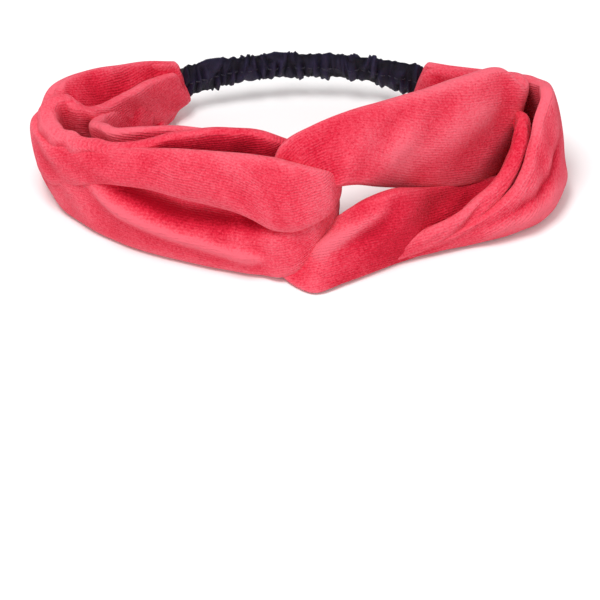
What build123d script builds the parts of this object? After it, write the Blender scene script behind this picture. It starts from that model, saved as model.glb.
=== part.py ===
from build123d import *
from math import asin, cos, pi, sin
import os

# Spa headband: two loops of soft velour tube hooked through each other at the front, with their
# ends sewn onto a short gathered elastic at the back.  Millimetres, Z up, the crossing of the
# loops at -Y and the elastic at +Y.  The origin is the middle of the head opening, on the plane
# that the headband stands on.

# Driving dimensions
HALF_WIDTH = 97.0           # middle of the band's outer run, at the left side
CROSSING_Y = -36.0          # the two halves turn about the upright line X = 0, Y = CROSSING_Y
BAND_THICKNESS = 5.0        # two layers of velour, lying flat
BAND_CORNER = 0.42          # corner radius of the band's section, as a share of its thickness
HOOK_RADIUS = 9.8           # middle of the left loop's bend round the right loop
HOOK_BOTTOM = 15.4          # the bend is gathered between these two heights
HOOK_TOP = 31.4
ROPE_WIDTH = 12.4           # the right loop, bunched up inside that bend
JOIN_X = 47.5               # where the loops' ends stop, left and right of the middle
JOIN_Y = 45.5
JOIN_BOTTOM = 8.0           # the gathered loop ends, where the elastic is sewn in
JOIN_TOP = 26.0
JOIN_GAP = 4.4              # room between a loop's two ends for the casing
CASING_TUCK = 8.0           # length of casing sewn in between the loop's two ends
CASING_RISE = 9.5           # how far the elastic's middle lies behind the two joins
CASING_WIDTH = 13.0
CASING_THICKNESS = 3.2
CASING_WALL = 0.6
ELASTIC_WIDTH = 8.5
ELASTIC_THICKNESS = 1.1
ELASTIC_LEVEL = 17.0        # height of the elastic's middle line
THREAD = 0.36               # diameter of the sewing thread
JOIN_STITCHES = 8           # stitches on each side of the casing, one above another
JOIN_STITCH_LENGTH = 1.3
SEAM_PITCH = 6.0
SEAM_STITCH_LENGTH = 3.0

# The elastic lies on an arc through the two joins.
ARC_RADIUS = (JOIN_X ** 2 + CASING_RISE ** 2) / (2 * CASING_RISE)
ARC_CENTRE_Y = JOIN_Y + CASING_RISE - ARC_RADIUS
JOIN_ANGLE = asin(JOIN_X / ARC_RADIUS)
TUCK_ANGLE = CASING_TUCK / ARC_RADIUS
LAYER_OFFSET = (JOIN_GAP + BAND_THICKNESS) / 2

os.makedirs("parts", exist_ok=True)


def arc_point(angle, offset, height):
    """A point beside the elastic's arc, at an angle from straight back, offset outwards."""
    reach = ARC_RADIUS + offset
    return (reach * sin(angle), ARC_CENTRE_Y + reach * cos(angle), height)


def join_station(side, offset, tuck, low_first=True):
    """The band's end beside the casing: side is -1 on the left and +1 on the right."""
    angle = side * (JOIN_ANGLE + tuck)
    spread = 3.0 * tuck / TUCK_ANGLE
    low = arc_point(angle, offset, JOIN_BOTTOM - spread)
    high = arc_point(angle, offset, JOIN_TOP + spread)
    return (low, high, BAND_THICKNESS) if low_first else (high, low, BAND_THICKNESS)


def section_planes(stations):
    """A plane across the band at each station, with its X along the band's width.

    A station is one edge of the band, the other edge and its thickness there.
    """
    centres = [(Vector(*first) + Vector(*second)) * 0.5 for first, second, _ in stations]
    planes = []
    for i, (first, second, _) in enumerate(stations):
        across = (Vector(*second) - Vector(*first)).normalized()
        ahead = centres[min(i + 1, len(centres) - 1)] - centres[max(i - 1, 0)]
        ahead = ahead - across * ahead.dot(across)
        planes.append(Plane(origin=centres[i], x_dir=across, z_dir=ahead))
    return planes


def band_width(station):
    first, second, _ = station
    return (Vector(*second) - Vector(*first)).length


def face_line(stations, side):
    """Points along the middle of the band's flat side, a thread's radius clear of it."""
    points = []
    for station, plane in zip(stations, section_planes(stations)):
        reach = (station[2] / 2 + 0.6 * THREAD) * side
        points.append(plane.from_local_coords(Vector(0, reach, 0)))
    return points


def stitch_planes(points):
    """One plane for each stitch along a line of points, with its Z along the stitch."""
    planes = []
    for start, end in zip(points, points[1:]):
        step = end - start
        count = max(1, int(step.length // SEAM_PITCH))
        for k in range(count):
            planes.append(Plane(origin=start + step * ((k + 0.5) / count), z_dir=step))
    return planes


def join_stitch_planes(side):
    """Upright planes in the narrow gaps on both sides of the casing's sewn-in end."""
    planes = []
    angle = side * (JOIN_ANGLE + TUCK_ANGLE / 2)
    gap_middle = (JOIN_GAP + CASING_THICKNESS) / 4
    for offset in (-gap_middle, gap_middle):
        for k in range(JOIN_STITCHES):
            share = (k + 0.5) / JOIN_STITCHES - 0.5
            height = ELASTIC_LEVEL + share * CASING_WIDTH * 0.85
            planes.append(Plane(origin=arc_point(angle, offset, height), z_dir=(0, 0, 1)))
    return planes


# ---- Left loop -------------------------------------------------------------------------------
# It goes out from the left join, round the side and along the front to the bend that holds the
# right loop, and comes back behind itself to the same join.
def side_by_side(rows):
    """Stations from rows of lower edge x, y, z and upper edge x, y, z."""
    return [((x0, y0, z0), (x1, y1, z1), BAND_THICKNESS) for x0, y0, z0, x1, y1, z1 in rows]


LEFT_OUTER = side_by_side([
    (-70, 37, 2, -68, 35, 39),
    (-84, 25, -1, -81, 23, 43),
    (-93, 13, -1, -90, 12, 46),
    (-HALF_WIDTH, 1, -1, -94, 2, 47),
    (-93, -9, -1, -91, -6.5, 47.5),
    (-83, -21, -1, -81, -17, 48),
    (-67, -33, -1, -66, -28, 48),
    (-48, -42.5, -1, -48, -37, 48),
    (-31, -47.5, -1, -30, -42.5, 47.5),
    (-19, -47, 9, -18, -45, 45),
    (-8, -46.5, HOOK_BOTTOM, -8, -45.8, 36.5),
])
LEFT_INNER = side_by_side([
    (-8, -25.5, HOOK_BOTTOM, -8, -25.5, HOOK_TOP),
    (-20, -24.5, 9, -20, -23.5, 43),
    (-38, -22.5, 5, -38, -19.5, 47),
    (-57, -18.5, 4, -56, -15.5, 46),
    (-70, -11, 4, -69, -8.5, 44),
    (-77, 2, 4, -75, 3, 42),
    (-74, 16, 4, -72, 15, 39),
    (-65, 28, 4, -63, 26.5, 36),
])
HOOK_STEPS = 6
HOOK_FRONT_TOP = 34.0


def hook_stations():
    """The left loop's bend: an upright half turn about the crossing line."""
    stations = []
    for k in range(HOOK_STEPS + 1):
        turn = pi * (k / HOOK_STEPS - 0.5)
        x = HOOK_RADIUS * cos(turn)
        y = CROSSING_Y + HOOK_RADIUS * sin(turn)
        top = HOOK_FRONT_TOP + (HOOK_TOP - HOOK_FRONT_TOP) * k / HOOK_STEPS
        stations.append(((x, y, HOOK_BOTTOM), (x, y, top), BAND_THICKNESS))
    return stations


left_stations = (
    [join_station(-1, LAYER_OFFSET, 0), join_station(-1, LAYER_OFFSET, TUCK_ANGLE)]
    + LEFT_OUTER
    + hook_stations()
    + LEFT_INNER
    + [join_station(-1, -LAYER_OFFSET, TUCK_ANGLE), join_station(-1, -LAYER_OFFSET, 0)]
)

with BuildPart() as left_velour_loop:
    for station, plane in zip(left_stations, section_planes(left_stations)):
        with BuildSketch(plane):
            RectangleRounded(band_width(station), station[2], BAND_CORNER * station[2])
    loft(ruled=True)
    split(bisect_by=Plane.XY, keep=Keep.TOP)

left_velour_loop.part.label = "left_velour_loop"
export_step(left_velour_loop.part, "parts/left_velour_loop.step")

# The tube's closing seam, on the hidden side of the outer run and of the inner run.
left_seam_points = face_line(left_stations, -1)
outer_count = 2 + len(LEFT_OUTER)
with BuildPart() as left_loop_seam:
    for run in (left_seam_points[2:outer_count - 1], left_seam_points[-len(LEFT_INNER):-2]):
        for plane in stitch_planes(run):
            with Locations(plane.location):
                Cylinder(THREAD / 2, SEAM_STITCH_LENGTH)

left_loop_seam.part.label = "left_loop_seam"
export_step(left_loop_seam.part, "parts/left_loop_seam.step")

with BuildPart() as left_join_stitches:
    for plane in join_stitch_planes(-1):
        with Locations(plane.location):
            Cylinder(THREAD / 2, JOIN_STITCH_LENGTH)

left_join_stitches.part.label = "left_join_stitches"
export_step(left_join_stitches.part, "parts/left_join_stitches.step")

# ---- Right loop ------------------------------------------------------------------------------
# Its inner run leans back across the ring, passes over the left loop's bend, turns down inside
# it as a bunched rope, and comes out below it as the outer run.  Each station starts with the
# edge on the side of the small eye between the two runs.
ROPE_TOP = 30.0
ROPE_BOTTOM = 15.0
HALF_ROPE = ROPE_WIDTH / 2
RIGHT_INNER = side_by_side([
    (66, 31.5, 4, 64, 29.5, 37),
    (79, 21, 4, 75, 19.5, 43),
    (82.5, 8, 4, 77.5, 10.5, 47),
    (75, -5, 6, 70, 4, 50),
    (60, -13, 10, 57, -1.5, 50),
    (43, -19.5, 15, 42, -8, 50),
    (26, -28, 25, 23, -16, 50),
])
TURN_OVER = [
    ((14, -33.5, 37), (9, -25, 50), 5.5),
    ((6, -36, 37.5), (-1.5, -32, 46), 8.0),
]
ROPE = [
    ((HALF_ROPE, CROSSING_Y, ROPE_TOP), (-HALF_ROPE, CROSSING_Y, ROPE_TOP), ROPE_WIDTH),
    ((HALF_ROPE, CROSSING_Y, ROPE_BOTTOM), (-HALF_ROPE, CROSSING_Y, ROPE_BOTTOM), ROPE_WIDTH),
]
TURN_OUT = [
    ((7, -42, 12), (-4, -42.5, 4), 10.0),
    ((10, -51, 12.5), (1.5, -59, 1), 8.0),
    ((16, -52.5, 18), (13, -61, -1), 6.0),
]
RIGHT_OUTER = side_by_side([
    (26, -48.5, 29, 27, -54, -1),
    (43, -40, 34, 45, -45.5, -1),
    (62, -31, 38, 64, -36, -1),
    (80, -21.5, 42, 82, -25, -1),
    (93, -8.5, 44, 95, -11, -1),
    (97, 4, 44, 99.5, 3, -1),
    (93, 18, 43, 95.5, 19, -1),
    (83, 30, 40, 85, 31.5, 1),
    (70, 38.5, 37, 71, 40, 3),
])

right_stations = (
    [join_station(1, -LAYER_OFFSET, 0), join_station(1, -LAYER_OFFSET, TUCK_ANGLE)]
    + RIGHT_INNER
    + TURN_OVER
    + ROPE
    + TURN_OUT
    + RIGHT_OUTER
    + [
        join_station(1, LAYER_OFFSET, TUCK_ANGLE, low_first=False),
        join_station(1, LAYER_OFFSET, 0, low_first=False),
    ]
)

with BuildPart() as right_velour_loop:
    for station, plane in zip(right_stations, section_planes(right_stations)):
        with BuildSketch(plane):
            RectangleRounded(band_width(station), station[2], BAND_CORNER * station[2])
    loft(ruled=True)
    split(bisect_by=Plane.XY, keep=Keep.TOP)

right_velour_loop.part.label = "right_velour_loop"
export_step(right_velour_loop.part, "parts/right_velour_loop.step")

right_seam_points = face_line(right_stations, 1)
inner_count = 2 + len(RIGHT_INNER)
with BuildPart() as right_loop_seam:
    for run in (right_seam_points[2:inner_count], right_seam_points[-len(RIGHT_OUTER) - 1:-2]):
        for plane in stitch_planes(run):
            with Locations(plane.location):
                Cylinder(THREAD / 2, SEAM_STITCH_LENGTH)

right_loop_seam.part.label = "right_loop_seam"
export_step(right_loop_seam.part, "parts/right_loop_seam.step")

with BuildPart() as right_join_stitches:
    for plane in join_stitch_planes(1):
        with Locations(plane.location):
            Cylinder(THREAD / 2, JOIN_STITCH_LENGTH)

right_join_stitches.part.label = "right_join_stitches"
export_step(right_join_stitches.part, "parts/right_join_stitches.step")

# ---- Elastic and its casing ------------------------------------------------------------------
# The casing is a tube of thin woven cloth, gathered by the shorter elastic strip inside it.  Its
# two flattened ends hold the strip and are sewn in between the ends of each velour loop.
END_ANGLE = JOIN_ANGLE + TUCK_ANGLE
STRIP_ANGLE = END_ANGLE - 0.5 / ARC_RADIUS
LEVEL_PLANE = Plane.XY.offset(ELASTIC_LEVEL)
ARC_CENTRE = (0, ARC_CENTRE_Y)

with BuildPart() as elastic_strip:
    with BuildSketch(LEVEL_PLANE):
        with Locations(ARC_CENTRE):
            Circle(ARC_RADIUS + ELASTIC_THICKNESS / 2)
            Circle(ARC_RADIUS - ELASTIC_THICKNESS / 2, mode=Mode.SUBTRACT)
        with BuildLine():
            Polyline(
                ARC_CENTRE,
                arc_point(-STRIP_ANGLE, ARC_RADIUS, 0)[:2],
                arc_point(STRIP_ANGLE, ARC_RADIUS, 0)[:2],
                close=True,
            )
        make_face(mode=Mode.INTERSECT)
    extrude(amount=ELASTIC_WIDTH / 2, both=True)

elastic_strip.part.label = "elastic_strip"
export_step(elastic_strip.part, "parts/elastic_strip.step")

with BuildPart() as elastic_casing:
    with BuildLine():
        route = CenterArc(
            (0, ARC_CENTRE_Y, ELASTIC_LEVEL),
            ARC_RADIUS,
            90 - END_ANGLE * 180 / pi,
            END_ANGLE * 360 / pi,
        )
    with BuildSketch(Plane(origin=route @ 0, x_dir=(0, 0, 1), z_dir=route % 0)):
        RectangleRounded(CASING_WIDTH, CASING_THICKNESS, 0.45 * CASING_THICKNESS)
    sweep()
    with BuildLine(mode=Mode.PRIVATE):
        hollow = CenterArc(
            (0, ARC_CENTRE_Y, ELASTIC_LEVEL),
            ARC_RADIUS,
            90 - JOIN_ANGLE * 180 / pi,
            JOIN_ANGLE * 360 / pi,
        )
    with BuildSketch(Plane(origin=hollow @ 0, x_dir=(0, 0, 1), z_dir=hollow % 0)):
        RectangleRounded(
            CASING_WIDTH - 2 * CASING_WALL,
            CASING_THICKNESS - 2 * CASING_WALL,
            0.45 * (CASING_THICKNESS - 2 * CASING_WALL),
        )
    sweep(path=hollow, mode=Mode.SUBTRACT)
    add(elastic_strip.part, mode=Mode.SUBTRACT)

elastic_casing.part.label = "elastic_casing"
export_step(elastic_casing.part, "parts/elastic_casing.step")

# The casing's closing seam, along the middle of its inner face.
SEAM_ANGLE = 1.5 * SEAM_PITCH / ARC_RADIUS
with BuildPart() as casing_seam:
    for k in range(-4, 5):
        middle = arc_point(k * SEAM_ANGLE, -(CASING_THICKNESS + 1.2 * THREAD) / 2, ELASTIC_LEVEL)
        heading = (cos(k * SEAM_ANGLE), -sin(k * SEAM_ANGLE), 0)
        with Locations(Plane(origin=middle, z_dir=heading).location):
            Cylinder(THREAD / 2, SEAM_STITCH_LENGTH)

casing_seam.part.label = "casing_seam"
export_step(casing_seam.part, "parts/casing_seam.step")
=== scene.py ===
import bpy
import math
import numpy as np
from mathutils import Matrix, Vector


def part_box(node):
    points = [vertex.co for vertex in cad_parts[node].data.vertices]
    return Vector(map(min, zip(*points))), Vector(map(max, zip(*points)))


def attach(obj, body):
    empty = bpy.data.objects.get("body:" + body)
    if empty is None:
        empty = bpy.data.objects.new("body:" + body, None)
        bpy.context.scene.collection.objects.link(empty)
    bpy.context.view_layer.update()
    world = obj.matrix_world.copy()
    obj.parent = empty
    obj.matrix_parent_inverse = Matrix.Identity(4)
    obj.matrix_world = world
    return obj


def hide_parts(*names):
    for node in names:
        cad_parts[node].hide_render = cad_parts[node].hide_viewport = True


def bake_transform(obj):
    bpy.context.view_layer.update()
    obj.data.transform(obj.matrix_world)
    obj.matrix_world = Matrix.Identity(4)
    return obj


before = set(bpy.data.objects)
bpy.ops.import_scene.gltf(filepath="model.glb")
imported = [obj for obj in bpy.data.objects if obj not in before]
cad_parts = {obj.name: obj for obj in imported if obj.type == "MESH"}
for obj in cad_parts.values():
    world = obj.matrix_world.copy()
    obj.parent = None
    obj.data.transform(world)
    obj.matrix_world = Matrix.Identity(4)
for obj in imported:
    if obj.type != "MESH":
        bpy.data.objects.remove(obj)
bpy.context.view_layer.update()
MM = 0.001

# Table, light and camera: a white, plain table in a bright room, with a soft light overhead and a
# weaker one in front, seen from the front and well above, through a long lens.
FLOOR_HALF = 6.0
floor_mesh = bpy.data.meshes.new("table_top")
floor_mesh.from_pydata(
    [(x * FLOOR_HALF, y * FLOOR_HALF, 0.0) for x, y in ((-1, -1), (1, -1), (1, 1), (-1, 1))],
    [],
    [(0, 1, 2, 3)],
)
table_top = bpy.data.objects.new("table_top", floor_mesh)
bpy.context.collection.objects.link(table_top)
table_paint = bpy.data.materials.new("white_table")
table_paint.use_nodes = True
paint = table_paint.node_tree.nodes["Principled BSDF"]
paint.inputs["Base Color"].default_value = (0.94, 0.94, 0.94, 1.0)
paint.inputs["Roughness"].default_value = 0.9
paint.inputs["Specular IOR Level"].default_value = 0.1
table_top.data.materials.append(table_paint)

world = bpy.data.worlds.new("soft_white_room")
bpy.context.scene.world = world
world.use_nodes = True
room = world.node_tree.nodes["Background"]
room.inputs["Color"].default_value = (1.0, 1.0, 1.0, 1.0)
room.inputs["Strength"].default_value = 0.62
bpy.context.scene.view_settings.view_transform = "Standard"


def soft_light(name, place, size, power, aim=(0, 0, 0.02)):
    """A square soft light that faces the headband: place and size in metres, power in watts."""
    light = bpy.data.lights.new(name, "AREA")
    light.size = size
    light.energy = power
    lamp = bpy.data.objects.new(name, light)
    lamp.location = place
    lamp.rotation_mode = "QUATERNION"
    lamp.rotation_quaternion = (Vector(aim) - Vector(place)).to_track_quat("-Z", "Y")
    bpy.context.collection.objects.link(lamp)


soft_light("overhead_softbox", (-0.25, -0.30, 1.2), 0.5, 10.5)
soft_light("front_fill", (0.5, -1.2, 0.6), 0.8, 3.0)

CAMERA_RISE = math.radians(38.0)
CAMERA_REACH = 1.267
CAMERA_LENS = 200.0
AIM_SIDE = -0.0013
AIM_DROP = 0.0437
camera_data = bpy.data.cameras.new("camera")
camera_data.lens = CAMERA_LENS
camera = bpy.data.objects.new("camera", camera_data)
camera.rotation_mode = "QUATERNION"
bpy.context.collection.objects.link(camera)
bpy.context.scene.camera = camera
up = Vector((0, math.sin(CAMERA_RISE), math.cos(CAMERA_RISE)))
back = Vector((0, -math.cos(CAMERA_RISE), math.sin(CAMERA_RISE)))
camera.location = back * CAMERA_REACH
aim_point = Vector((AIM_SIDE, 0, 0)) - up * AIM_DROP
camera.rotation_quaternion = (aim_point - camera.location).to_track_quat("-Z", "Y")


# Elastic strip: a flat woven elastic tape, hidden inside the gathered casing. Its two ends are
# sewn in with the casing between the ends of the velour loops.
ARC_RADIUS = 123.5
ARC_LEVEL = 17.0
JOIN_SPAN = 47.5
strip_low, strip_high = [[c / MM for c in corner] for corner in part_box("elastic_strip")]
STRIP_THICKNESS = 1.1
ARC_CENTRE_Y = strip_high[1] - STRIP_THICKNESS / 2 - ARC_RADIUS
STRIP_WIDTH = strip_high[2] - strip_low[2]
STRIP_END = math.asin(strip_high[0] / ARC_RADIUS)
UPWARD = np.array([0, 0, 1.0])


def arc_frame(angle):
    """A point of the elastic's arc and its outward direction, in millimetres."""
    outward = np.array([math.sin(angle), math.cos(angle), 0.0])
    return np.array([0.0, ARC_CENTRE_Y, ARC_LEVEL]) + ARC_RADIUS * outward, outward


def sewn_piece(name, points, faces, extras, material):
    """One smooth piece from points in millimetres; extras are the numbers its finish reads."""
    mesh = bpy.data.meshes.new(name)
    mesh.from_pydata((np.asarray(points) * MM).tolist(), [], faces)
    for key, values in extras:
        attribute = mesh.attributes.new(key, "FLOAT", "POINT")
        attribute.data.foreach_set("value", np.asarray(values).ravel().astype(np.float32))
    mesh.polygons.foreach_set("use_smooth", [True] * len(mesh.polygons))
    mesh.update()
    piece = bpy.data.objects.new(name, mesh)
    bpy.context.collection.objects.link(piece)
    piece.data.materials.append(material)
    return piece


def grid_mesh(name, grid, material, extras=(), hollow=False):
    """One piece from rings of points (ring, point round the ring, xyz), in millimetres.

    A hollow piece's last ring joins its first; any other has its two ends closed.
    """
    n, m = grid.shape[:2]
    faces = [
        (i * m + j, (i + 1) % n * m + j, (i + 1) % n * m + (j + 1) % m, i * m + (j + 1) % m)
        for i in range(n if hollow else n - 1)
        for j in range(m)
    ]
    if not hollow:
        faces.append(tuple(range(m)))
        faces.append(tuple((n - 1) * m + j for j in reversed(range(m))))
    return sewn_piece(name, grid.reshape(-1, 3), faces, extras, material)


class Finish:
    """A procedural material, built up node by node."""

    def __init__(self, name, roughness, sheen=0.0, tint=(1, 1, 1), sheen_roughness=0.4):
        self.material = bpy.data.materials.new(name)
        self.material.use_nodes = True
        self.tree = self.material.node_tree
        self.shader = self.tree.nodes["Principled BSDF"]
        self.shader.inputs["Roughness"].default_value = roughness
        self.shader.inputs["Specular IOR Level"].default_value = 0.15
        self.shader.inputs["Sheen Weight"].default_value = sheen
        self.shader.inputs["Sheen Roughness"].default_value = sheen_roughness
        self.shader.inputs["Sheen Tint"].default_value = (*tint, 1.0)

    def link(self, value, socket):
        if isinstance(value, (int, float)):
            socket.default_value = value
        else:
            self.tree.links.new(value, socket)

    def read(self, name):
        node = self.tree.nodes.new("ShaderNodeAttribute")
        node.attribute_name = name
        return node.outputs["Fac"]

    def math(self, operation, a, b=0.0):
        node = self.tree.nodes.new("ShaderNodeMath")
        node.operation = operation
        self.link(a, node.inputs[0])
        self.link(b, node.inputs[1])
        return node.outputs[0]

    def vector(self, x, y, z):
        node = self.tree.nodes.new("ShaderNodeCombineXYZ")
        for value, socket in zip((x, y, z), node.inputs):
            self.link(value, socket)
        return node.outputs[0]

    def place(self):
        return self.tree.nodes.new("ShaderNodeTexCoord").outputs["Object"]

    def noise(self, where, scale, detail=2.0, roughness=0.5):
        node = self.tree.nodes.new("ShaderNodeTexNoise")
        self.tree.links.new(where, node.inputs["Vector"])
        node.inputs["Scale"].default_value = scale
        node.inputs["Detail"].default_value = detail
        node.inputs["Roughness"].default_value = roughness
        return node.outputs["Fac"]

    def colour(self, factor, stops):
        node = self.tree.nodes.new("ShaderNodeValToRGB")
        ramp = node.color_ramp
        while len(ramp.elements) < len(stops):
            ramp.elements.new(0.5)
        for element, (position, rgb) in zip(ramp.elements, stops):
            element.position = position
            element.color = (*rgb, 1.0)
        self.link(factor, node.inputs["Fac"])
        self.tree.links.new(node.outputs["Color"], self.shader.inputs["Base Color"])

    def bump(self, height, distance, strength=1.0):
        node = self.tree.nodes.new("ShaderNodeBump")
        node.inputs["Distance"].default_value = distance
        node.inputs["Strength"].default_value = strength
        self.link(height, node.inputs["Height"])
        self.tree.links.new(node.outputs["Normal"], self.shader.inputs["Normal"])


def wave(finish, value, pitch):
    """A sine from -1 to 1 that repeats every pitch millimetres."""
    return finish.math("SINE", finish.math("MULTIPLY", value, 2 * math.pi / pitch))


elastic_finish = Finish("woven_elastic", 0.6, sheen=0.1)
cross_ribs = wave(elastic_finish, elastic_finish.read("along"), 0.9)
elastic_grain = elastic_finish.noise(elastic_finish.place(), 900.0)
elastic_finish.colour(
    elastic_finish.math("ADD", elastic_finish.math("MULTIPLY", cross_ribs, 0.2), elastic_grain),
    [(0.25, (0.016, 0.015, 0.020)), (0.85, (0.055, 0.052, 0.062))],
)
elastic_finish.bump(cross_ribs, 0.0001)

def squarish(values, power):
    """Sine or cosine values pushed outward, so a round section becomes nearer to a flat one."""
    return np.sign(values) * np.abs(values) ** power


STRIP_CORNER = 0.35
strip_angles = np.linspace(-STRIP_END, STRIP_END, 90)
strip_turn = np.linspace(0, 2 * math.pi, 40, endpoint=False)
strip_grid = np.zeros((len(strip_angles), len(strip_turn), 3))
for i, angle in enumerate(strip_angles):
    middle, outward = arc_frame(angle)
    tall = squarish(np.sin(strip_turn), STRIP_CORNER) * STRIP_WIDTH / 2
    deep = squarish(np.cos(strip_turn), STRIP_CORNER) * STRIP_THICKNESS / 2
    strip_grid[i] = middle + deep[:, None] * outward + tall[:, None] * UPWARD
strip_along = np.repeat((strip_angles * ARC_RADIUS)[:, None], len(strip_turn), 1)
elastic_strip = grid_mesh(
    "woven_elastic_strip", strip_grid, elastic_finish.material, [("along", strip_along)]
)
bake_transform(elastic_strip)
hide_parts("elastic_strip")


# Elastic casing: a navy satin-cotton tube, cut longer than the elastic (its sizes are given just
# below) and pushed together on it, so it stands in sharp uneven gathers that lean over.
CASING_SEWN_IN = 7.0
CASING_END = math.asin(JOIN_SPAN / ARC_RADIUS) + CASING_SEWN_IN / ARC_RADIUS
CASING_CORNER = 0.8
CASING_HALF_TALL = 5.6
CASING_DROP = 0.7
CASING_END_TALL = 1.9
CASING_END_DROP = 1.4
CASING_HALF_DEEP = 1.6
CASING_FLAT_FROM = 46.5
GATHER_SINK = 0.9
GATHER_LEAN = 0.35
GATHER_DRAWS = 140
MIDDLE_GATHER = 60
GATHER_PITCH = 3.6
INNER_SHARE = 0.84
casing_random = np.random.default_rng(7)


def smoothstep(x):
    """Nought up to 0, one from 1 on, and a smooth rise between."""
    x = np.clip(x, 0.0, 1.0)
    return x * x * (3 - 2 * x)


def gather_set(along, tall, pitch, slant, height, vary):
    """Sharp-crested gathers that cross the tube at a slant; each fades out at its own height."""
    wander = np.interp(along, np.linspace(-60, 60, 30), casing_random.uniform(-0.35, 0.35, 30))
    bend = np.interp(along, np.linspace(-60, 60, 24), casing_random.uniform(-1, 1, 24))
    phase = along / pitch + wander + slant * bend * tall / 5.0
    index = np.floor(phase).astype(int) + MIDDLE_GATHER
    crest = 1 - np.abs(2 * (phase - np.floor(phase)) - 1)
    size = casing_random.uniform(0.45, 1.0, GATHER_DRAWS)[index]
    centre = casing_random.uniform(-1.2, 1.2, GATHER_DRAWS)[index]
    fade = 1 - vary * smoothstep(np.abs(tall / 5.0 - centre) - 0.3)
    return height * size * fade * (1 - (1 - crest) ** 1.5)


casing_angles = np.linspace(-CASING_END, CASING_END, 380)
casing_turn = np.linspace(0, 2 * math.pi, 80, endpoint=False)
along = np.repeat((casing_angles * ARC_RADIUS)[:, None], len(casing_turn), 1)
turn = np.repeat(casing_turn[None, :], len(casing_angles), 0)
end_share = smoothstep((np.abs(along) - 20) / 28)
half_tall = CASING_HALF_TALL + CASING_END_TALL * end_share
tall = squarish(np.sin(turn), CASING_CORNER) * half_tall
deep = squarish(np.cos(turn), CASING_CORNER) * CASING_HALF_DEEP
side_shift = np.where(np.cos(turn) > 0, 1.7, 0.0)
lift = np.maximum(
    gather_set(along + side_shift, tall, GATHER_PITCH, 0.45, 2.7, 0.7),
    gather_set(along - 0.8 * side_shift, tall, 1.37 * GATHER_PITCH, 0.8, 2.3, 0.9),
)
in_the_join = smoothstep((np.abs(along) - CASING_FLAT_FROM) / 2.0)
lift = (lift - GATHER_SINK) * (1 - in_the_join)
tall = tall * (1 - 0.3 * in_the_join)
deep = deep * (1 - 0.45 * in_the_join)
rim = np.abs(np.sin(turn)) ** 3
casing_grid = np.zeros((*along.shape, 3))
for i, angle in enumerate(casing_angles):
    lean = GATHER_LEAN * np.roll(lift[i], 3) * np.sign(np.sin(0.9 * angle * ARC_RADIUS) + 0.3)
    for j in range(len(casing_turn)):
        middle, outward = arc_frame(angle + lean[j] / ARC_RADIUS)
        out = deep[i, j] + np.cos(turn[i, j]) * lift[i, j]
        rise = tall[i, j] + np.sin(turn[i, j]) * lift[i, j] * (0.3 + 0.6 * rim[i, j])
        rise -= CASING_DROP + CASING_END_DROP * end_share[i, j]
        casing_grid[i, j] = middle + out * outward + rise * UPWARD

navy_finish = Finish("navy_satin_cotton", 0.5, sheen=0.04, tint=(0.4, 0.4, 0.8))
navy_finish.shader.inputs["Specular IOR Level"].default_value = 0.22
navy_along = navy_finish.read("along")
navy_around = navy_finish.read("around")
warp = wave(navy_finish, navy_around, 0.42)
weft = wave(navy_finish, navy_along, 0.36)
navy_patch = navy_finish.noise(navy_finish.place(), 220.0, 3.0)
navy_weave = navy_finish.math("MULTIPLY", warp, weft)
# painted light and shade: the casing's colour is lighter on the gathers' crests and darker between
# them, read from the crest attribute
navy_painted_gather_light = navy_finish.math("MULTIPLY", navy_finish.read("crest"), 0.26)
navy_tone_and_painted_light = navy_finish.math(
    "ADD",
    navy_finish.math("ADD", navy_patch, navy_painted_gather_light),
    navy_finish.math("MULTIPLY", navy_weave, 0.06),
)
navy_finish.colour(
    navy_tone_and_painted_light,
    [
        (0.3, (0.0030, 0.0022, 0.0088)),
        (0.65, (0.0105, 0.0078, 0.029)),
        (1.0, (0.027, 0.021, 0.062)),
    ],
)
navy_finish.bump(navy_weave, 0.00006)
casing_around = np.repeat((casing_turn * 5.2)[None, :], len(casing_angles), 0)
tube_middle = np.array([arc_frame(angle)[0] for angle in casing_angles])[:, None, :]
# the wall inside the tube, which closes its two ends round the elastic
inner_wall = tube_middle + (casing_grid - tube_middle) * INNER_SHARE
# crest carries the gathers' lift, which the navy finish reads as a painted highlight on the crests
# and painted shade between them
casing = grid_mesh(
    "gathered_casing",
    np.concatenate([casing_grid, inner_wall[::-1]]),
    navy_finish.material,
    [
        (key, np.concatenate([values, values[::-1]]))
        for key, values in (("along", along), ("around", casing_around), ("crest", lift))
    ],
    hollow=True,
)
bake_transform(casing)
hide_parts("elastic_casing")


# Casing seam: the lockstitch that closes the casing tube, in navy thread, along the middle of its
# inner face. Its stitches ride up and down with the gathers.
THREAD_RADIUS = 0.22


def thread_finish(name, dark, light):
    """Twisted sewing thread: fine slanting plies and a slight shine."""
    finish = Finish(name, 0.45, sheen=0.2)
    ply = wave(finish, finish.math("ADD", finish.read("along"), finish.read("around")), 0.5)
    tone = finish.math("ADD", finish.math("MULTIPLY", ply, 0.4), 0.5)
    finish.colour(tone, [(0.1, dark), (0.9, light)])
    finish.bump(ply, 0.00004)
    return finish.material


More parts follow.
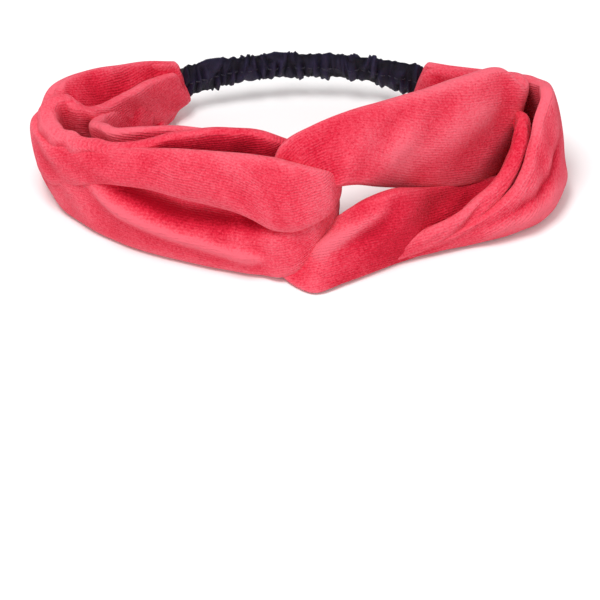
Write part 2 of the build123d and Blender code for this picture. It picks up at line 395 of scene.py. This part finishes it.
def stitches(name, runs, outs, material):
    """Short stitches, each a rounded length of thread that dips into the cloth at its ends.

    A run is the stitch's two ends in millimetres, and outs is the way out of the cloth.
    """
    rings, sides = 7, 8
    points, faces, along_values, around_values = [], [], [], []
    for (first, last), out in zip(runs, outs):
        first, last, out = (np.array(v, float) for v in (first, last, out))
        ahead = last - first
        length = np.linalg.norm(ahead)
        ahead = ahead / max(length, 1e-6)
        out = out - ahead * (out @ ahead)
        out = out / max(np.linalg.norm(out), 1e-6)
        across = np.cross(ahead, out)
        start = len(points)
        for i in range(rings):
            share = i / (rings - 1)
            bow = math.sin(math.pi * share)
            middle = first + ahead * length * share + out * THREAD_RADIUS * (1.3 * bow - 0.6)
            radius = THREAD_RADIUS * (0.35 + 0.65 * bow ** 0.5)
            for j in range(sides):
                a = 2 * math.pi * j / sides
                points.append(middle + radius * (math.cos(a) * out + math.sin(a) * across))
                along_values.append(length * share)
                around_values.append(THREAD_RADIUS * a)
        for i in range(rings - 1):
            for j in range(sides):
                k = start + i * sides
                faces.append((k + j, k + (j + 1) % sides, k + sides + (j + 1) % sides, k + sides + j))
        faces.append(tuple(start + j for j in reversed(range(sides))))
        faces.append(tuple(start + (rings - 1) * sides + j for j in range(sides)))
    extras = [("along", along_values), ("around", around_values)]
    return sewn_piece(name, points, faces, extras, material)


navy_thread = thread_finish("navy_thread", (0.012, 0.011, 0.020), (0.05, 0.047, 0.075))
inner_middle = int(np.argmin(np.cos(casing_turn)))
seam_rows = range(24, len(casing_angles) - 30, 9)
seam_runs = [(casing_grid[i, inner_middle], casing_grid[i + 6, inner_middle]) for i in seam_rows]
seam_outs = [-arc_frame(casing_angles[i])[1] for i in seam_rows]
casing_seam = stitches("casing_seam_stitches", seam_runs, seam_outs, navy_thread)
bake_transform(casing_seam)
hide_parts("casing_seam")


# Left velour loop: a tube of coral knitted velour pressed flat and folded in half round the right
# loop, both ends sewn to the elastic. Its folds are sheets of cloth that lie over each other.
VELOUR_RIB = 1.0
END_ROUND = 1.2
BAND_STEPS = 14
CLOTH_WAVES = 0.35
RELIEF_PASSES = 40
velour_finish = Finish("coral_velour", 0.9, sheen=0.24, tint=(1.0, 0.40, 0.46))
velour_finish.shader.inputs["Specular IOR Level"].default_value = 0.04
velour_place = velour_finish.place()


def times(value, amount):
    return velour_finish.math("MULTIPLY", value, amount)


def plus(value, other):
    return velour_finish.math("ADD", value, other)


rib_wander = velour_finish.noise(velour_place, 260.0, 2.0)
rib_phase = plus(velour_finish.read("around"), times(rib_wander, 1.1))
velour_ribs = wave(velour_finish, rib_phase, VELOUR_RIB)
stitch_place = velour_finish.vector(
    times(velour_finish.read("along"), 0.55), times(velour_finish.read("around"), 1.3), 0.0
)
stitch_cells = velour_finish.noise(stitch_place, 1.0, 2.0)
nap = velour_finish.noise(velour_place, 1250.0, 3.0, 0.75)
brushed = velour_finish.noise(velour_place, 48.0, 3.0, 0.55)
rib_strength = velour_finish.noise(velour_place, 38.0, 1.0)
rib_height = times(velour_ribs, times(rib_strength, 0.5))
velour_height = plus(rib_height, plus(times(nap, 1.5), stitch_cells))
# painted light and shade: the colour is lighter where the cloth stands out (crest) or a fold ridge
# lifts it, and darker in creases, hollows and on the shaded sheets (valley)
painted_fold_light_and_shade = plus(
    times(velour_finish.read("crest"), 0.15), times(velour_finish.read("valley"), 0.10)
)
brushed_tone = velour_finish.math("SUBTRACT", times(brushed, 0.52), 0.03)
nap_tone = plus(times(nap, 0.95), times(velour_ribs, times(rib_strength, 0.07)))
# the velour's colour: its own random brushed and nap tone, plus a painted highlight on ridges and
# painted shade in creases and on sheets lying behind others
velour_tone_and_painted_light = plus(painted_fold_light_and_shade, plus(brushed_tone, nap_tone))
velour_finish.colour(
    velour_tone_and_painted_light,
    [
        (0.22, (0.40, 0.003, 0.014)),
        (0.52, (0.66, 0.016, 0.044)),
        (0.76, (0.785, 0.064, 0.104)),
        (1.0, (0.845, 0.134, 0.182)),
    ],
)
velour_finish.bump(velour_height, 0.0003)
velour = velour_finish.material


def spline(rows, steps):
    """A smooth curve through rows of numbers, sampled steps times between each two rows."""
    p = np.array(rows, float)
    p = np.vstack([2 * p[0] - p[1], p, 2 * p[-1] - p[-2]])
    out = []
    for i in range(1, len(p) - 2):
        for k in range(steps):
            t = k / steps
            a, b, c, d = p[i - 1], p[i], p[i + 1], p[i + 2]
            out.append(
                0.5 * (2 * b + (c - a) * t + (2 * a - 5 * b + 4 * c - d) * t * t
                       + (3 * b - a - 3 * c + d) * t ** 3)
            )
    out.append(p[-2])
    return np.array(out)


# A fold lies on one side of a band. Its line's points are (station, share of the way across).
def fold_height(fold, station, across, width):
    """How far a fold lifts the cloth, in millimetres, along its own line on the band."""
    rows = spline(fold["line"], 12)
    place = np.interp(station, rows[:, 0], rows[:, 1])
    first, last = rows[0, 0], rows[-1, 0]
    taper = fold.get("taper", 0.8)
    fade = smoothstep((station - first) / taper) * smoothstep((last - station) / taper)
    d = (across - place) * width
    deep, wide = fold["deep"], fold["wide"]
    if fold["kind"] == "crease":
        lift = -deep * np.exp(-(np.abs(d) / wide) ** 1.4)
        lift = lift + 0.3 * deep * np.exp(-((np.abs(d) - 1.9 * wide) / wide) ** 2)
    else:
        lift = deep * np.exp(-(d / wide) ** 2)
    return lift * fade


def rounded_ends(rows, station):
    """Rows with a few more at each end, drawn in so the end is rounded and not cut off."""
    parts, places = [], []
    for last, nearest in ((0, 1), (-1, -2)):
        end = rows[last]
        step = (rows[last] - rows[nearest])[0:6]
        middle = (step[0:3] + step[3:6]) / 2
        middle = middle / max(np.linalg.norm(middle), 1e-9)
        across = (end[3:6] - end[0:3]) / max(np.linalg.norm(end[3:6] - end[0:3]), 1e-9)
        extra = []
        for turn in (0.35, 0.7, 1.0):
            a = turn * math.pi / 2
            row = end.copy()
            shrink = END_ROUND * (1 - math.cos(a))
            row[0:3] = end[0:3] + middle * END_ROUND * math.sin(a) + across * shrink
            row[3:6] = end[3:6] + middle * END_ROUND * math.sin(a) - across * shrink
            row[6] = max(end[6] - 2 * shrink, 0.4)
            extra.append(row)
        parts.append(extra)
        places.append([station[last]] * 3)
    rows = np.vstack([parts[0][::-1], rows, parts[1]])
    return rows, np.concatenate([places[0], station, places[1]])


def cloth_band(stations, folds=(), around=112, seed=1, painted_shade=((0, 0), (1, 0))):
    """The points of a closed, flattened tube as rings, with what the velour's finish reads.

    A station is one edge (x, y, z), the other edge (x, y, z), the thickness, and the belly by
    which the middle bows out, all in millimetres. Painted shade rows are (station, tone): below
    nought the colour is darkened there, painted shade on sheets that lie behind or under others.
    """
    rows = spline([(*a, *b, t, belly) for a, b, t, belly in stations], BAND_STEPS)
    rows, station = rounded_ends(rows, np.arange(len(rows)) / BAND_STEPS)
    low, high, thick, belly = rows[:, 0:3], rows[:, 3:6], rows[:, 6], rows[:, 7]
    middle = (low + high) / 2
    across = high - low
    width = np.linalg.norm(across, axis=1)
    across = across / width[:, None]
    ahead = np.gradient(middle, axis=0)
    for _ in range(6):
        ahead[1:-1] = (ahead[:-2] + 2 * ahead[1:-1] + ahead[2:]) / 4
    ahead -= across * (ahead * across).sum(1)[:, None]
    ahead /= np.linalg.norm(ahead, axis=1)[:, None]
    out = np.cross(ahead, across)
    half = around // 2
    q = np.arange(half) / half
    share = 0.55 * q + 0.45 * (0.5 - 0.5 * np.cos(math.pi * q))
    share = np.concatenate([share, 1 - share])
    side = np.concatenate([np.ones(half), -np.ones(half)])
    full_width = width + thick
    a = np.repeat(share[None, :], len(rows), 0)
    s = np.repeat(station[:, None], around, 1)
    w = np.repeat(full_width[:, None], around, 1)
    power = 2 + 3 * np.clip((full_width / thick - 1.3) / 3, 0, 1)[:, None]
    profile = np.clip(1 - np.abs(2 * a - 1) ** power, 0, 1) ** (1 / power)
    height = profile * thick[:, None] / 2
    # valley: how far the folds lift or sink the cloth; the finish also reads it as a painted
    # highlight on ridges and painted shade in creases
    valley = np.zeros_like(a)
    edge = np.clip(profile * 1.6, 0, 1)
    for fold in folds:
        on = np.repeat((side == fold["side"])[None, :], len(rows), 0)
        valley = valley + np.where(on, fold_height(fold, s, a, w) * edge, 0)
    height = height + valley
    random = np.random.default_rng(seed)
    for _ in range(10):
        along_cycles = random.uniform(0.25, 1.1)
        across_cycles = random.uniform(0.3, 2.2)
        phase = random.uniform(0, 2 * math.pi)
        height = height + CLOTH_WAVES * profile * np.sin(
            2 * math.pi * (along_cycles * s + across_cycles * a) + phase + 1.7 * side[None, :]
        ) / 3
    # painted shade: the rows darken the colour of the stretches that lie behind, under or inside
    # other sheets
    valley = valley + np.interp(station, *zip(*painted_shade))[:, None]
    bow = belly[:, None] * 4 * a * (1 - a)
    offset = height * side[None, :] + bow
    points = (
        middle[:, None, :]
        + across[:, None, :] * ((a - 0.5) * w)[:, :, None]
        + out[:, None, :] * offset[:, :, None]
    )
    # crest: how far the cloth stands out of a smoothed copy of itself; the finish paints it lighter
    # there and darker in hollows, a painted highlight and painted shade
    smooth = points.copy()
    for _ in range(RELIEF_PASSES):
        smooth = (smooth + np.roll(smooth, 1, 1) + np.roll(smooth, -1, 1)) / 3
        smooth[1:-1] = (smooth[:-2] + smooth[1:-1] + smooth[2:]) / 3
    normal = np.cross(np.gradient(points, axis=0), np.roll(points, -1, 1) - np.roll(points, 1, 1))
    normal /= np.maximum(np.linalg.norm(normal, axis=2), 1e-9)[:, :, None]
    crest = ((points - smooth) * normal).sum(2)
    if (normal * out[:, None, :] * side[None, :, None]).sum() < 0:
        crest = -crest
    distance = np.concatenate([[0], np.cumsum(np.linalg.norm(np.diff(middle, axis=0), axis=1))])
    length = np.repeat(distance[:, None], around, 1)
    girth = a * w
    return dict(points=points, along=length, around=girth, valley=valley, crest=crest, out=out)


def cloth_piece(name, bands, material):
    """One piece from several bands of cloth that belong to the same tube."""
    points, faces, start = [], [], 0
    for band in bands:
        n, m = band["points"].shape[:2]
        points.append(band["points"].reshape(-1, 3))
        for i in range(n - 1):
            for j in range(m):
                k = start + i * m
                faces.append((k + j, k + m + j, k + m + (j + 1) % m, k + (j + 1) % m))
        faces.append(tuple(start + j for j in range(m)))
        faces.append(tuple(start + (n - 1) * m + j for j in reversed(range(m))))
        start += n * m
    keys = ("along", "around", "valley", "crest")
    extras = [(key, np.concatenate([band[key].ravel() for band in bands])) for key in keys]
    return sewn_piece(name, np.vstack(points), faces, extras, material)


LEFT_BAND = [
    # outer run: low edge, high edge, thickness, belly
    ((-45.5, 45, 8.5), (-49.3, 46.5, 21.5), 4.5, 0),
    ((-52, 42.5, 6), (-57, 43, 23.5), 5.5, 1),
    ((-69, 34.5, 5), (-70, 35, 27), 6, 1.5),
    ((-80, 27, 4), (-82, 26.5, 30.5), 6, 1.5),
    ((-89, 17, 4), (-92, 15.5, 33), 6, 1.5),
    ((-93, 7, 4), (-97, 6.5, 28), 6, 1.5),
    ((-93, -4, 4), (-97.3, -3, 24), 6, 1.5),
    ((-87, -16, 4), (-89.5, -14, 22), 7, 2),
    ((-76.5, -27, 4), (-78, -22.5, 25.5), 7, 2),
    ((-62, -37, 4), (-63, -30.5, 33), 7, 2),
    ((-45, -44, 4), (-45, -35.5, 36.5), 7, 2),
    ((-28, -50, 4), (-28, -38.5, 37.5), 7, 2),
    ((-15, -53, 4), (-15, -40, 37), 7, 2),
    ((-6, -55, 5), (-5, -42, 34.5), 7, 1.5),
    ((2, -52, 9), (4, -42, 32), 7, 1),
    ((8, -46, 16), (9, -39, 31), 7, 0),
    ((10, -38, 18), (9.5, -34, 31), 7, 0),
    ((7, -29, 17), (7, -27, 34), 6.5, 0),
    # inner run, up to the rolled collar at the side
    ((-3, -26, 13), (-4, -26, 37), 6, 0),
    ((-14, -25.5, 9), (-15, -26, 41.5), 6, 0),
    ((-30, -25, 6), (-30, -25, 42.5), 6, 0),
    ((-47, -23.5, 5), (-47, -26.5, 41.5), 6, 0),
    ((-62, -19, 5), (-64, -27.5, 37), 7, 0),
    ((-74, -15, 8), (-77, -22, 33.5), 8, 0),
    ((-83, -12.5, 14), (-86, -16.8, 32.5), 8.5, 0),
    ((-90, -8.5, 18), (-92, -11.5, 32.5), 8.5, 0),
    ((-93.8, -3.5, 20), (-95.2, -4, 33), 9, 0),
    ((-93, 2.5, 21), (-94, 2.5, 34), 8.5, 0),
    ((-88.5, 5, 21), (-89.5, 5, 34), 8.2, 0),
    ((-82.5, 5, 20), (-83.8, 4, 31.5), 7.8, 0),
    ((-77, 8, 16), (-79, 6.5, 28.5), 7, 0),
    ((-71, 16, 11), (-73.5, 13, 26.5), 5.5, 0),
    ((-64.5, 23.5, 8), (-67, 22, 24.5), 5, 0),
    ((-56, 32.5, 7), (-59, 32.5, 22.5), 5, 0),
    ((-46.5, 43, 8.5), (-50, 42.5, 19.5), 4.5, 0),
]
LEFT_FOLDS = [
    dict(side=1, kind="ridge", deep=2.8, wide=2.6, taper=1.0,
         line=[(7.9, 0.78), (8.2, 0.68), (8.85, 0.46), (9.7, 0.31), (10.55, 0.24),
               (11.3, 0.19), (12.5, 0.16)]),
    dict(side=1, kind="ridge", deep=-3.4, wide=5.0, taper=1.0,
         line=[(8.1, 0.9), (8.85, 0.7), (9.7, 0.54), (10.55, 0.50), (11.3, 0.50),
               (12.2, 0.54), (13.4, 0.66)]),
]
# painted shade: the inner run, which lies behind the front, is darkened; a little lighter near the
# collar
LEFT_PAINTED_SHADE = [(2, 0), (4, 0), (15, 0), (17, -3.5), (22, -3.0), (24, 0.3), (28, 0)]
left_band = cloth_band(LEFT_BAND, LEFT_FOLDS, seed=3, painted_shade=LEFT_PAINTED_SHADE)

LEFT_LOBE = [
    # the upper sheet of the front, which hangs over the lower one: low edge, high edge
    ((-93.5, 12, 20), (-94.8, 11, 29.5), 3.5, 0),
    ((-98.3, -0.5, 14), (-99.7, -1, 29.5), 5, 0),
    ((-94.5, -12, 14.5), (-96, -11, 28), 6, 0),
    ((-86, -21, 20.5), (-87, -18.5, 29.5), 7, 0),
    ((-75, -28, 27), (-75, -25, 32.5), 7.5, 0.5),
    ((-64.5, -34, 30.5), (-64, -30.5, 36.5), 7.5, 1),
    ((-54.5, -38.5, 32), (-54, -34, 39), 7.5, 1.5),
    ((-45, -42, 31.5), (-45, -37, 41), 7.5, 2),
    ((-35.5, -45, 31), (-35, -39.5, 42), 7.5, 2),
    ((-23, -47.5, 28.5), (-23, -41, 42), 7.5, 2),
    ((-12, -50, 23.5), (-12, -42, 41), 7.5, 2),
    ((-4, -51, 23), (-4, -43, 39.5), 7.5, 1.5),
    ((4, -49.5, 25.5), (5, -43.5, 37), 7.5, 1),
    ((9.5, -44, 27), (10, -40, 34), 7, 0),
    ((11, -37.5, 27), (11, -35, 32), 5, 0),
    ((7.5, -30, 26), (7.5, -29, 31), 3, 0),
]
left_lobe = cloth_band(LEFT_LOBE, seed=21, around=96)

LEFT_PLEAT = [
    # low edge, high edge, thickness, belly
    ((-47.5, 42, 8.5), (-50.5, 42, 15), 2.5, 0),
    ((-52, 37.5, 5.5), (-56, 36, 17.5), 4.5, 0),
    ((-57, 30, 5), (-64.5, 27, 19.5), 5.5, 0),
    ((-65, 17, 5), (-71.5, 15, 22.5), 6, 0),
    ((-71, 5, 6), (-76, 4, 27), 6, 0),
    ((-72, -5, 6), (-76.5, -6, 31), 6, 0),
    ((-66.5, -13, 6), (-69.5, -14, 34.5), 5.5, 0),
    ((-57, -16.5, 6), (-58, -17, 37.5), 5, 0),
    ((-44, -19.5, 7), (-44, -19.5, 40), 4.5, 0),
    ((-32, -22, 9), (-32, -21.5, 40), 3.5, 0),
    ((-22, -24, 12), (-22, -24, 38), 2.5, 0),
]
PLEAT_FOLDS = [
    dict(side=-1, kind="crease", deep=2.2, wide=2.2, taper=0.5,
         line=[(0.2, 0.97), (0.7, 0.85), (1.2, 0.6), (1.7, 0.35), (2.5, 0.1)]),
]
# painted shade: the pleat, which lies behind the front sheet, is darkened all along
PLEAT_PAINTED_SHADE = [(0, -1.5), (3, -0.8), (5, -1), (7, -2), (10, -2)]
left_pleat = cloth_band(LEFT_PLEAT, PLEAT_FOLDS, seed=5, around=80, painted_shade=PLEAT_PAINTED_SHADE)

LEFT_FACE = [
    # the broad sheet inside the back of the loop: low edge, high edge, thickness, belly
    ((-47.3, 44, 11), (-49.6, 46, 21.5), 4.5, 0),
    ((-55, 37, 11), (-58.5, 42.5, 24), 5.5, 0),
    ((-64.5, 25, 12), (-70, 34.5, 27.5), 6, 0),
    ((-75, 16, 15), (-82, 26, 31), 6, 0),
    ((-83.5, 8.5, 21), (-90.5, 15, 33.5), 6.5, 0),
    ((-88, 6.5, 25), (-93, 7.5, 31.5), 5, 0),
]
# painted shade: the broad sheet inside the back of the loop is darkened
left_face = cloth_band(LEFT_FACE, seed=17, around=64, painted_shade=[(0, -1.5), (3, -2.2), (5, -0.5)])
left_loop = cloth_piece(
    "left_loop_velour", [left_band, left_lobe, left_pleat, left_face], velour
)
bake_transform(left_loop)
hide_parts("left_velour_loop")


# Right velour loop: the same tube of velour, passed through the left loop's bend and folded back.
# The run nearer the head stands over the eye; the other lies behind a wide turned-over sheet.
RIGHT_BAND = [
    # inner run: eye edge, far edge, thickness, belly
    ((43.5, 42, 10.5), (47.5, 42, 21.5), 4.5, 0),
    ((55, 37, 7), (58, 37, 24), 5.5, 0),
    ((67, 24, 6), (72, 27, 30.5), 6, 0),
    ((75, 12, 6), (80.3, 16, 37.5), 6, 0),
    ((73.5, 2, 8), (81, 7, 39), 6, 0),
    ((65, -8.5, 12), (72, 7, 46.3), 6.5, -1),
    ((50, -17, 16.5), (57, -1, 47), 7, -3),
    ((38, -23, 21), (43, -9, 47), 7, -3),
    ((28, -30, 27), (30, -15, 47), 7, -3),
    ((19, -36.5, 33), (17, -22, 47.5), 7, -2),
    ((12, -40, 34.5), (5, -29, 46.5), 7, -1),
    ((6, -41, 33), (-5, -35, 43), 8, 0),
    ((3, -40, 27), (-8, -38, 33), 9, 0),
    # down inside the left loop's bend
    ((4, -40, 21), (-7, -42, 23), 9, 0),
    ((5, -42, 15), (-8, -49, 10), 7.5, 0),
    ((8.5, -45, 14), (-6.5, -55.6, 3), 4.2, 0),
    # outer run, the sheet behind: its upper edge first
    ((13, -46, 21), (4, -64.5, 1.8), 2.3, -0.3),
    ((22, -45, 26), (15.5, -57.5, 2.5), 4.2, -1.3),
    ((34, -40, 25.8), (33, -46, 3), 6, -1.5),
    ((45.5, -27, 16.5), (44.5, -40, 3), 6, -0.5),
    ((57, -16.5, 9.5), (56, -34, 3), 6, 0),
    ((68, -10, 7.5), (67, -27, 3.5), 5.5, 0),
    ((78, -5, 6.5), (77.5, -17, 3.5), 4.5, 0),
    ((87, -3, 6), (87, -11, 3.5), 3, 0),
]
RIGHT_FOLDS = [
    dict(side=-1, kind="ridge", deep=2.8, wide=4.5, taper=0.8,
         line=[(15.2, 0.45), (16, 0.4), (17, 0.24), (18, 0.1)]),
    dict(side=-1, kind="ridge", deep=1.6, wide=9, taper=1.2,
         line=[(4.5, 0.7), (6, 0.6), (7, 0.45), (9, 0.4), (10.5, 0.5)]),
]
# painted shade: the run is darkened near its far turn, where it passes down into the left loop's
# bend, and along the sheet behind
RIGHT_PAINTED_SHADE = [(3, -1), (6, 0), (8, 0), (9, -1.5), (11, -1.5), (13, -2), (15, 0), (16, -0.5),
              (17.5, -3.5), (22, -3)]
right_band = cloth_band(RIGHT_BAND, RIGHT_FOLDS, seed=8, painted_shade=RIGHT_PAINTED_SHADE)

RIGHT_FLAP = [
    # the sheet in front: its rolled upper edge first, then the low edge
    ((26, -49, 4.5), (25, -50, 3), 3, 0),
    ((37, -45, 5), (36, -46, 3), 3.5, 0),
    ((52, -39.5, 6.5), (50.5, -40, 3.2), 5, 0),
    ((65, -35, 9.5), (64.5, -35, 3.5), 5.5, 0),
    ((76, -28, 14.5), (78, -28.5, 3.5), 5.5, -1),
    ((81.3, -23, 19.5), (87, -22.5, 3.5), 5.5, -1.5),
    ((85, -15.5, 26), (92.5, -14, 3.5), 5.5, -2),
    ((87.5, -8, 33.5), (95.5, -4, 3.5), 5.5, -2),
    ((90.5, 2.5, 40), (95.5, 4, 3.5), 6, -1.5),
    ((89.5, 10, 38), (93.5, 12, 3.5), 6, -1),
    ((84.5, 19, 34), (90, 22, 4), 6, 0),
    ((75, 28, 29), (79, 33, 5), 6, 0),
    ((62, 37, 24.5), (63, 42, 7), 6, 0),
    ((47.5, 46, 21.5), (43.5, 45.5, 8.5), 4.5, 0),
]
FLAP_FOLDS = [
    dict(side=-1, kind="ridge", deep=2.0, wide=4.5, taper=1.2,
         line=[(2.6, 0.4), (3.5, 0.5), (4.3, 0.62), (5, 0.7), (6, 0.76), (7, 0.76), (7.8, 0.72)]),
    dict(side=-1, kind="crease", deep=1.4, wide=2.4, taper=1.2,
         line=[(2.5, 0.2), (3.3, 0.3), (4, 0.36), (5, 0.42), (6, 0.45), (7, 0.42), (8, 0.4)]),
]
right_flap = cloth_band(RIGHT_FLAP, FLAP_FOLDS, seed=11)

RIGHT_ROLL = [
    # the rolled edge of the sheet behind, which lies along the front sheet: low edge, high edge
    ((79, 5.5, 26), (79.5, 5.5, 30), 4, 0),
    ((81.6, -1, 27.5), (82, -1, 31), 5.5, 0),
    ((80.8, -8.5, 24.5), (81.2, -8, 28), 6.6, 0),
    ((78.2, -15.5, 20), (78.5, -15, 23.5), 7, 0),
    ((73.2, -23, 15.5), (73.5, -22.5, 18.5), 7, 0),
    ((66, -30, 11.5), (66, -29.5, 15), 6.4, 0),
    ((56.5, -37, 8), (56.5, -36.5, 11.5), 5.8, 0),
    ((45, -42, 5.5), (45, -41.5, 8.5), 5.2, 0),
    ((34, -46.8, 3.8), (34, -46.3, 6.2), 4.2, 0),
    ((24, -51.5, 2.8), (24, -51, 4.4), 3, 0),
]
# painted shade: the rolled edge, under the front sheet, is darkened at its upper end
right_roll = cloth_band(RIGHT_ROLL, seed=29, around=48, painted_shade=[(0, -3), (3, -2), (6, 0), (9, 0)])
right_loop = cloth_piece("right_loop_velour", [right_band, right_flap, right_roll], velour)
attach(right_loop, "right_half")
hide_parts("right_velour_loop")


# Loop seams: each velour strip is sewn into a tube with one row of coral lockstitch along the
# middle of the face that is turned away, so only a little of it ever shows.
coral_thread = thread_finish("coral_thread", (0.50, 0.012, 0.040), (0.86, 0.080, 0.13))


def seam_stitches(name, band, side, rings, material):
    """A row of stitches down the middle of one face of a band, a stitch to every few rings."""
    points, out = band["points"], band["out"]
    column = points.shape[1] // 4 if side > 0 else 3 * points.shape[1] // 4
    runs, outs = [], []
    for i in rings:
        runs.append((points[i, column], points[i + 3, column]))
        outs.append(out[i] * side)
    return stitches(name, runs, outs, material)


left_seam = seam_stitches("left_loop_seam_stitches", left_band, -1, range(60, 205, 5), coral_thread)
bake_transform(left_seam)
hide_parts("left_loop_seam")
right_seam = seam_stitches("right_loop_seam_stitches", right_flap, 1, range(30, 150, 4), coral_thread)
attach(right_seam, "right_half")
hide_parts("right_loop_seam")


# Join stitches: where a loop's ends are closed on the gathered casing, a bar of short stitches in
# coral thread holds velour and casing together. It is modelled on the loop's outer face.
JOIN_STITCH_COUNT = 8


def join_stitches(name, band, side, ring, material):
    """Short stitches across one face of a band near its end, one above another."""
    points, out = band["points"], band["out"]
    m = points.shape[1]
    first = 0 if side > 0 else m // 2
    i, step = (ring, 1) if ring >= 0 else (len(points) + ring, -1)
    columns = [first + int((0.16 + 0.09 * k) * m / 2) for k in range(JOIN_STITCH_COUNT)]
    runs = [(points[i, j], points[i + 3 * step, j]) for j in columns]
    return stitches(name, runs, [out[i] * side] * len(runs), material)


left_join = join_stitches("left_join_bar", left_band, 1, 5, coral_thread)
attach(left_join, "left_half")
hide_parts("left_join_stitches")
right_join = join_stitches("right_join_bar", right_flap, -1, -6, coral_thread)
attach(right_join, "right_half")
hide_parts("right_join_stitches")
